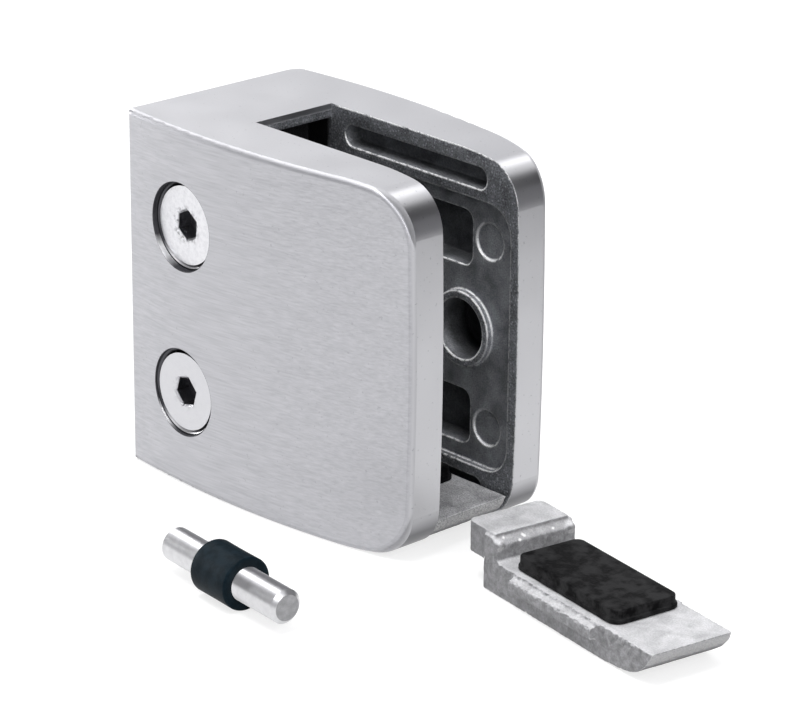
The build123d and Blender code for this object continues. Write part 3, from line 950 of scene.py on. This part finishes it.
@dataclass
class RubberPad:
    """Rubber pad on a support plate, with a wider foot that has squeezed out a little unevenly.

    A pad that lies beside the clamp isn't mirrored in the clamp's metal, as in the picture.
    """

    node: str
    turn: float
    seed: float
    length: float = 22.6 * MM
    width: float = 10.8 * MM
    height: float = 2.0 * MM
    radius: float = 1.3 * MM
    least_radius: float = 0.25 * MM
    side_steps: int = 28
    corner_steps: int = 8
    flange: float = 0.4 * MM
    flange_height: float = 0.7 * MM
    edge: float = 0.28 * MM
    edge_steps: int = 4
    draft: float = 0.03 * MM
    draft_share: float = 0.1
    # Rings as inset and height in millimetres and share of the unevenness. The foot's low rings are
    # measured from its outline and the plate, its top ones from its outline and its top, and those of the
    # step from the pad's own side and the foot's top.
    foot_low: tuple[Point, ...] = ((0.12, 0.0, 1.0), (0.0, 0.1, 1.0))
    foot_top: tuple[Point, ...] = ((0.0, -0.16, 1.0), (0.06, -0.03, 1.0), (0.16, 0.0, 0.8))
    step_rings: tuple[Point, ...] = ((-0.04, 0.01, 0.3), (0.0, 0.06, 0.2))
    top_insets_mm: tuple[float, ...] = (0.8, 1.4, 2.2, 3.2, 4.3, 5.1)
    top_drop: float = 0.01 * MM
    wave: float = 0.16 * MM
    wave_length: float = 3.2 * MM
    sag: float = 0.05 * MM
    sag_length: float = 4 * MM
    mirrored: bool = True
    finish: MouldedRubber = field(default_factory=lambda: MouldedRubber(
        name="moulded_pad_rubber", base="#050506", bloom_grey="#1D1D1E", rough=(0.45, 0.85),
        bloom=Pattern(2.2, 5.0, 0.62), grain=Pattern(0.3, 2.0), grain_height=0.03 * MM, gloss=0.09,
        gloss_play=0.6))

    def build(self) -> bpy.types.Object:
        """Make the pad's mesh on its plate.

        Returns:
            The pad.
        """
        low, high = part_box(self.node)
        middle = (low + high) / 2
        rings = []
        for inset, level, wander in self.profile():
            ring = rounded_ring(self.length + 2 * self.flange - 2 * inset,
                                self.width + 2 * self.flange - 2 * inset,
                                max(self.radius + self.flange - inset, self.least_radius),
                                self.side_steps, self.corner_steps)
            rings.append([self.wandered(point, level, wander) for point in ring])
        piece = mesh_object(self.node + "_moulded", rings, closed=False)
        move = Matrix.Translation(Vector((middle.x, middle.y, low.z)))
        piece.data.transform(move @ Euler((0, 0, self.turn)).to_matrix().to_4x4())
        piece.visible_glossy = self.mirrored
        return piece

    def profile(self) -> list[Point]:
        """Side of the pad from its foot to the middle of its top.

        Returns:
            Inset from the foot's outline, height, and share of the foot's unevenness, for each ring.
        """
        top = self.height
        side = self.flange + self.draft
        levels = []
        for rings, start, floor in ((self.foot_low, 0.0, 0.0), (self.foot_top, 0.0, self.flange_height),
                                    (self.step_rings, self.flange, self.flange_height)):
            for inset, rise, share in rings:
                levels.append((start + inset * MM, floor + rise * MM, share))
        levels.append((side, top - self.edge, self.draft_share))
        for i in range(1, self.edge_steps + 1):
            angle = math.radians(90 * i / self.edge_steps)
            levels.append((side + self.edge * (1 - math.cos(angle)),
                           top - self.edge + self.edge * math.sin(angle), 0.0))
        for inset in self.top_insets_mm:
            levels.append((self.flange + inset * MM, top - self.top_drop, 0.0))
        return levels

    def wandered(self, point: Vector, level: float, share: float) -> Vector:
        """Move a point of the foot in or out, and let the top sag a little.

        Args:
            point: Point of the even outline.
            level: Height of its ring.
            share: How much of the unevenness reaches it.

        Returns:
            The point in its place.
        """
        rough = noise.noise(Vector((point.x / self.wave_length, point.y / self.wave_length, self.seed)))
        scale = 1 - share * self.wave * (0.5 + 0.5 * rough) / (self.width / 2)
        dip = 0.0
        if level > self.height - self.sag:
            swell = noise.noise(Vector((point.x / self.sag_length, point.y / self.sag_length, self.seed)))
            dip = self.sag * (0.5 + 0.5 * swell)
        return Vector((point.x * scale, point.y * scale, level - dip))

    def dress(self, piece: bpy.types.Object) -> None:
        """Finish the pad and put it in the place of its CAD node.

        Args:
            piece: The pad.
        """
        self.finish.dress(piece)
        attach(piece, Body.BASE.value)
        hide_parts(self.node)


@dataclass
class PinSleeve:
    """Rubber sleeve round the middle of the pin, cut square with its edges gone soft.

    It isn't mirrored in the clamp's metal, as in the picture.
    """

    node: str = "loose_pin_sleeve"
    turn: float = LOOSE_PIN_TURN
    length: float = 8.0 * MM
    outer: float = 3.897 * MM
    inner: float = 2.51 * MM
    inner_lip: float = 0.03 * MM
    edge: float = 0.26 * MM
    edge_steps: int = 6
    waist: float = 0.03 * MM
    waist_places: tuple[float, ...] = (-0.6, -0.3, 0.0, 0.3, 0.6)
    segments: int = 72
    finish: MouldedRubber = field(default_factory=lambda: MouldedRubber(
        name="extruded_sleeve_rubber", base="#031017", bloom_grey="#081820", rough=(0.46, 0.60),
        bloom=Pattern(1.8, 5.0, 0.62), grain=Pattern(0.35, 2.0), grain_height=0.015 * MM, gloss=0.07,
        gloss_play=0.2))

    def build(self) -> bpy.types.Object:
        """Make the sleeve's mesh round the pin.

        Returns:
            The sleeve.
        """
        low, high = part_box(self.node)
        middle = (low + high) / 2
        half = self.length / 2
        lip = self.inner + self.inner_lip
        turns = [math.radians(90 * i / self.edge_steps) for i in range(self.edge_steps + 1)]
        profile = [(-half + self.inner_lip, self.inner), (-half, lip)]
        for angle in turns:
            profile.append((-half + self.edge - self.edge * math.cos(angle),
                            self.outer - self.edge + self.edge * math.sin(angle)))
        for share in self.waist_places:
            profile.append((share * half, self.outer - self.waist * (1 - share**2)))
        for angle in reversed(turns):
            profile.append((half - self.edge + self.edge * math.cos(angle),
                            self.outer - self.edge + self.edge * math.sin(angle)))
        profile += [(half, lip), (half - self.inner_lip, self.inner)]
        rings = []
        for along, radius in profile:
            ring = []
            for i in range(self.segments):
                angle = 2 * math.pi * i / self.segments
                ring.append(Vector((along, radius * math.cos(angle), radius * math.sin(angle))))
            rings.append(ring)
        piece = mesh_object("pin_sleeve_extruded", rings, closed=True)
        piece.visible_glossy = False
        piece.data.transform(Matrix.Translation(middle) @ Euler((0, 0, self.turn)).to_matrix().to_4x4())
        return piece

    def dress(self, piece: bpy.types.Object) -> None:
        """Finish the sleeve and put it in the place of its CAD node.

        Args:
            piece: The sleeve.
        """
        self.finish.dress(piece)
        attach(piece, Body.BASE.value)
        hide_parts(self.node)


@dataclass
class ClampBody:
    """The two castings of the clamp and the screws that hold them together."""

    back_node: str = "base_jaw"
    front_node: str = "front_jaw"
    back_slope: float = 0.067
    back_bow: float = 152.5 * MM
    front_slope: float = 0.070
    front_bow: float = 149.8 * MM
    # The upper socket is the more burred one, and its head lies in better light, painted as a paler grey than
    # the lower head.
    screws: tuple[tuple[str, float, str], ...] = (("upper_screw", 1.0, "#DADADD"),
                                                  ("lower_screw", 0.35, "#C6C6C9"))

    def dress(self) -> None:
        """Give the castings and the screws their finishes."""
        back = SatinCastStainless(side=1.0, name="cast_stainless_back", face_slope=self.back_slope,
                                  face_bow=self.back_bow)
        front = SatinCastStainless(side=-1.0, name="cast_stainless_front", face_slope=self.front_slope,
                                   face_bow=self.front_bow)
        for node, finish in ((self.back_node, back), (self.front_node, front)):
            finish.dress(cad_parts[node])
            LOG.info("%s is dressed", node)
        for node, burr, bright in self.screws:
            low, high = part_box(node)
            centre = ((low.x + high.x) / 2, low.y, (low.z + high.z) / 2)
            steel = TurnedScrewSteel(name="turned_steel_" + node, centre=centre, burr=burr, bright=bright)
            steel.dress(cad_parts[node])
            LOG.info("%s is dressed", node)


@dataclass
class CastPlate:
    """Support plate as it comes from the die and the tumbling barrel, its edges and corners gone soft.

    A plate that lies beside the clamp isn't mirrored in the clamp's metal, as in the picture.
    """

    node: str
    start: Span
    turn: float
    seed: float
    floor: float = -27.5 * MM
    weld: float = 0.001 * MM
    voxel: float = 0.20 * MM
    smoothing: int = 7
    smooth_factor: float = 0.5
    ridge_length: float = 3.2 * MM
    ridge_height: float = 8.3 * MM
    half_width: float = 6.85 * MM
    # Half-round nubs at both ends of the ridge, set back and down by shares of their radius.
    nub: float = 0.75 * MM
    nub_back: float = 0.5
    nub_down: float = 1.4
    nub_rings: int = 3
    # Unevenness of the skin in millimetres: how deep it goes, and the size of its dents.
    fine_dents: Span = (0.05, 0.5)
    broad_dents: Span = (0.07, 2.6)
    rib_tears: Span = (0.22, 0.55)
    tear_share: float = 0.35
    rib_level: float = 4.5 * MM
    rib_half: float = 0.45 * MM
    rib_width: float = 0.25 * MM
    mirrored: bool = True
    finish: DieCastZinc = field(default_factory=DieCastZinc)

    def placing(self) -> Matrix:
        """Turn and move from the plate's own place to its place in the model."""
        move = Matrix.Translation(Vector((self.start[0], self.start[1], self.floor)))
        return move @ Matrix.Rotation(self.turn, 4, "Z")

    def build(self) -> bpy.types.Object:
        """Make the plate's mesh from the outline of its CAD node.

        Returns:
            The plate, its edges softened and its skin uneven.
        """
        shape = bmesh.new()
        shape.from_mesh(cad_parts[self.node].data)
        bmesh.ops.remove_doubles(shape, verts=shape.verts, dist=self.weld)
        for side in (1, -1):
            place = Vector((self.ridge_length - self.nub_back * self.nub, side * (self.half_width - self.nub),
                            self.ridge_height - self.nub_down * self.nub))
            bmesh.ops.create_icosphere(shape, subdivisions=self.nub_rings, radius=self.nub,
                                       matrix=self.placing() @ Matrix.Translation(place))
        rough = bpy.data.meshes.new(self.node + "_rough")
        shape.to_mesh(rough)
        shape.free()
        holder = bpy.data.objects.new(self.node + "_rough", rough)
        bpy.context.scene.collection.objects.link(holder)
        skin = holder.modifiers.new("die", "REMESH")
        skin.mode = "VOXEL"
        skin.voxel_size = self.voxel
        barrel = holder.modifiers.new("barrel", "SMOOTH")
        barrel.factor = self.smooth_factor
        barrel.iterations = self.smoothing
        mesh = bpy.data.meshes.new_from_object(holder.evaluated_get(bpy.context.evaluated_depsgraph_get()))
        bpy.data.objects.remove(holder)
        piece = bpy.data.objects.new(self.node + "_die_cast", mesh)
        bpy.context.scene.collection.objects.link(piece)
        self.roughen(piece)
        piece.visible_glossy = self.mirrored
        return piece

    def roughen(self, piece: bpy.types.Object) -> None:
        """Press the skin in a little everywhere, with dents and a torn edge along the ribs.

        Args:
            piece: The plate.
        """
        own = self.placing().inverted()
        points = [(vertex, vertex.co.copy(), vertex.normal.copy()) for vertex in piece.data.vertices]
        for vertex, spot, facing in points:
            here = own @ spot
            key = Vector((here.x, here.y, here.z + self.seed * MM)) / MM
            fine, broad = [depth * (0.5 + 0.5 * noise.noise(key / size))
                           for depth, size in (self.fine_dents, self.broad_dents)]
            sink = fine + broad
            at_side = abs(here.y) > self.half_width - self.rib_width
            if at_side and abs(here.z - self.rib_level) < self.rib_half:
                tear, size = self.rib_tears
                sink += tear * max(0.0, self.tear_share + noise.noise(key / size))
            vertex.co = spot - facing * sink * MM
        for face in piece.data.polygons:
            face.use_smooth = True

    def dress(self, piece: bpy.types.Object) -> None:
        """Finish the plate and put it in the place of its CAD node.

        Args:
            piece: The plate.
        """
        self.finish.dress(piece)
        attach(piece, Body.BASE.value)
        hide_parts(self.node)


@dataclass
class SecuringPin:
    """The loose pin. It isn't mirrored in the clamp's metal, as in the picture."""

    node: str = "loose_pin"
    turn: float = LOOSE_PIN_TURN
    length: float = 27.0 * MM

    def dress(self) -> None:
        """Give the pin its ground finish."""
        low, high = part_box(self.node)
        middle = (low + high) / 2
        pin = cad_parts[self.node]
        steel = GroundPinSteel(name="ground_pin_steel", centre=tuple(middle), turn=self.turn,
                               half_length=self.length / 2)
        steel.dress(pin)
        pin.visible_glossy = False
        LOG.info("%s is dressed", self.node)


@dataclass(frozen=True)
class Lamp:
    """Soft square lamp: where it hangs, the side of its face and its watts."""

    name: str
    place: Point
    size: float
    power: float


@dataclass(frozen=True)
class WallPatch:
    """Part of the studio's walls with a grey of its own.

    It lies round a direction, from where the cosine of the angle to it is the first value of the edge to
    where it is the second.
    """

    toward: Point
    edge: Span
    grey: str


@dataclass
class Studio:
    """Pale floor, soft lamps and the camera of the picture."""

    camera_place: Point = (390.11 * MM, -326.41 * MM, 177.80 * MM)
    yaw: float = math.radians(46.991)
    pitch: float = math.radians(-20.732)
    roll: float = math.radians(0.527)
    focal_px: float = 3558.7
    clip_range: Span = (0.01, 20.0)
    # The floor lies a hair under the clamp. The camera and the metal see it as a dull white with a glow in
    # it, so that it comes out white and still takes the clamp's shadow.
    floor_half: float = 1.5
    floor_level: float = -27.53 * MM
    floor_matt: str = "#E4E4E4"
    floor_seen: str = "#959595"
    floor_glow: float = 0.74
    # Grey card, bowed away from the clamp.
    flag_place: Span = (0.202, 0.122)
    flag_width: float = 0.44
    flag_height: float = 0.125
    flag_bow: float = 0.04
    flag_columns: int = 13
    flag_grey: str = "#6C6C6E"
    lamp_aim: Point = (0.03, 0.0, 0.0)
    lamps: tuple[Lamp, ...] = (Lamp("key_softbox", (-0.60, 0.22, 0.70), 0.60, 2.9),
                               Lamp("rim_softbox", (-0.10, 0.57, 0.67), 0.22, 0.32),
                               Lamp("fill_softbox", (0.75, -0.25, 0.45), 0.50, 4.0),
                               Lamp("top_softbox", (0.06, -0.28, 0.88), 0.34, 6.0),
                               Lamp("left_softbox", (-0.62, -0.12, 0.03), 0.24, 3.0))
    wall_low: str = "#848488"
    wall_high: str = "#D0D0D2"
    wall_rise: Span = (0.12, 0.75)
    wall_glow: float = 1.35
    patches: tuple[WallPatch, ...] = (WallPatch((-0.60, 0.64, 0.46), (0.80, 0.94), "#D9D9DB"),
                                      WallPatch((-0.68, -0.62, 0.36), (0.84, 0.95), "#6A6A6C"),
                                      WallPatch((0.735, 0.638, 0.22), (0.76, 0.90), "#68686A"),
                                      WallPatch((0.53, 0.638, 0.56), (0.92, 0.97), "#0A0A0C"),
                                      WallPatch((-0.02, 0.64, 0.77), (0.93, 0.985), "#FFFFFF"))

    def build(self) -> None:
        """Set the camera, the floor, the lamps and the world."""
        self.set_camera()
        self.lay_floor()
        self.stand_flag()
        for lamp in self.lamps:
            self.hang_lamp(lamp)
        self.set_world()
        bpy.context.scene.view_settings.view_transform = "Standard"

    def set_camera(self) -> None:
        """Put the camera where the picture was taken from."""
        level = math.cos(self.pitch)
        forward = Vector((-math.sin(self.yaw) * level, math.cos(self.yaw) * level, math.sin(self.pitch)))
        right = Vector((math.cos(self.yaw), math.sin(self.yaw), 0.0))
        up = right.cross(forward)
        tilted_right = right * math.cos(self.roll) + up * math.sin(self.roll)
        tilted_up = up * math.cos(self.roll) - right * math.sin(self.roll)
        data = bpy.data.cameras.new("picture_camera")
        data.sensor_width = SENSOR_WIDTH_MM
        data.lens = self.focal_px * SENSOR_WIDTH_MM / PHOTO_WIDTH
        data.clip_start, data.clip_end = self.clip_range
        camera = bpy.data.objects.new("picture_camera", data)
        axes = Matrix((tilted_right, tilted_up, -forward)).transposed()
        camera.matrix_world = Matrix.Translation(Vector(self.camera_place)) @ axes.to_4x4()
        bpy.context.scene.collection.objects.link(camera)
        bpy.context.scene.camera = camera

    def lay_floor(self) -> None:
        """Lay the floor just under the clamp."""
        shape = bmesh.new()
        bmesh.ops.create_grid(shape, x_segments=1, y_segments=1, size=self.floor_half)
        mesh = bpy.data.meshes.new("studio_floor")
        shape.to_mesh(mesh)
        shape.free()
        floor = bpy.data.objects.new("studio_floor", mesh)
        floor.location.z = self.floor_level
        bpy.context.scene.collection.objects.link(floor)
        material, tree = new_material("studio_white")
        seen = add_node(tree, "ShaderNodeLightPath", output="Is Camera Ray")
        path = seen.node.outputs
        for ray in ("Is Glossy Ray", "Is Transmission Ray"):
            seen = add_node(tree, "ShaderNodeMath", {0: seen, 1: path[ray]}, operation="MAXIMUM")
        matt = add_node(tree, "ShaderNodeBsdfDiffuse", {"Color": srgb(self.floor_matt)})
        soft = add_node(tree, "ShaderNodeBsdfDiffuse", {"Color": srgb(self.floor_seen)})
        glow = add_node(tree, "ShaderNodeEmission", {"Color": srgb("#FFFFFF"), "Strength": self.floor_glow})
        bright = add_node(tree, "ShaderNodeAddShader", {0: soft, 1: glow})
        both = add_node(tree, "ShaderNodeMixShader", {0: seen, 1: matt, 2: bright})
        add_node(tree, "ShaderNodeOutputMaterial", {"Surface": both})
        mesh.materials.append(material)

    def stand_flag(self) -> None:
        """Stand a dark card beside the open end, out of the picture, for the end faces to mirror."""
        shape = bmesh.new()
        last = self.flag_columns - 1
        rows = []
        for level in (self.floor_level, self.floor_level + self.flag_height):
            row = []
            for i in range(self.flag_columns):
                across = self.flag_width * (i / last - 0.5)
                bow = self.flag_bow * (2 * across / self.flag_width) ** 2
                x = self.flag_place[0] - across * math.sin(self.yaw) - bow * math.cos(self.yaw)
                y = self.flag_place[1] + across * math.cos(self.yaw) - bow * math.sin(self.yaw)
                row.append(shape.verts.new((x, y, level)))
            rows.append(row)
        for i in range(last):
            shape.faces.new((rows[0][i], rows[0][i + 1], rows[1][i + 1], rows[1][i]))
        mesh = bpy.data.meshes.new("dark_flag")
        shape.to_mesh(mesh)
        shape.free()
        flag = bpy.data.objects.new("dark_flag", mesh)
        bpy.context.scene.collection.objects.link(flag)
        flag.visible_camera = False
        flag.visible_shadow = False
        material, tree = new_material("black_felt")
        felt = add_node(tree, "ShaderNodeBsdfDiffuse", {"Color": srgb(self.flag_grey)})
        add_node(tree, "ShaderNodeOutputMaterial", {"Surface": felt})
        mesh.materials.append(material)

    def hang_lamp(self, kind: Lamp) -> None:
        """Hang one soft square lamp, aimed at the clamp.

        Args:
            kind: The lamp's name, place, size and power.
        """
        data = bpy.data.lights.new(kind.name, "AREA")
        data.size = kind.size
        data.energy = kind.power
        lamp = bpy.data.objects.new(kind.name, data)
        aim = Vector(self.lamp_aim) - Vector(kind.place)
        lamp.rotation_euler = aim.to_track_quat("-Z", "Y").to_euler()
        lamp.location = kind.place
        bpy.context.scene.collection.objects.link(lamp)

    def set_world(self) -> None:
        """Surround the clamp with pale studio walls: dim near the floor, bright panels higher up."""
        world = bpy.data.worlds.new("studio_walls")
        bpy.context.scene.world = world
        world.use_nodes = True
        tree = world.node_tree
        tree.nodes.clear()
        way = add_node(tree, "ShaderNodeTexCoord", output="Generated")
        height = add_node(tree, "ShaderNodeSeparateXYZ", {0: way}, output="Z")
        raised = add_node(tree, "ShaderNodeMapRange", {0: height, FROM: self.wall_rise},
                          interpolation_type="SMOOTHSTEP")
        greys = (srgb(self.wall_low), srgb(self.wall_high))
        colour = add_node(tree, "ShaderNodeMix", {0: raised, COLOURS: greys}, output=2, data_type="RGBA")
        for patch in self.patches:
            near = add_node(tree, "ShaderNodeVectorMath", {0: way, 1: Vector(patch.toward).normalized()},
                            output="Value", operation="DOT_PRODUCT")
            share = add_node(tree, "ShaderNodeMapRange", {0: near, FROM: patch.edge},
                             interpolation_type="SMOOTHSTEP")
            colour = add_node(tree, "ShaderNodeMix", {0: share, COLOURS: (colour, srgb(patch.grey))},
                              output=2, data_type="RGBA")
        glow = add_node(tree, "ShaderNodeBackground", {"Color": colour, "Strength": self.wall_glow})
        add_node(tree, "ShaderNodeOutputWorld", {"Surface": glow})


def main() -> None:
    """Build every class in order and report each piece."""
    logging.basicConfig(level=logging.INFO, format="%(name)s: %(message)s")
    Studio().build()
    ClampBody().dress()
    SecuringPin().dress()
    # The fitted plate is seen in the slot's shade, where its skin looks darker and more speckled: painted
    # shade.
    speckled = DieCastZinc(name="die_cast_zinc_fitted_shaded", pale="#B8B8BA", shade="#848486", speckle=0.45)
    builders = [CastPlate(node="support_plate", start=(17.7 * MM, 0.0), turn=0.0, seed=2.3, finish=speckled),
                CastPlate(node="loose_support_plate", start=(69.7 * MM, -3.6 * MM), turn=LOOSE_PLATE_TURN,
                          seed=5.9, mirrored=False),
                RubberPad(node="support_pad", turn=0.0, seed=3.1),
                RubberPad(node="loose_support_pad", turn=LOOSE_PLATE_TURN, seed=7.7, mirrored=False),
                PinSleeve()]
    for builder in builders:
        piece = builder.build()
        builder.dress(piece)
        LOG.info("%s has %d faces", piece.name, len(piece.data.polygons))


if __name__ == "__main__":
    main()
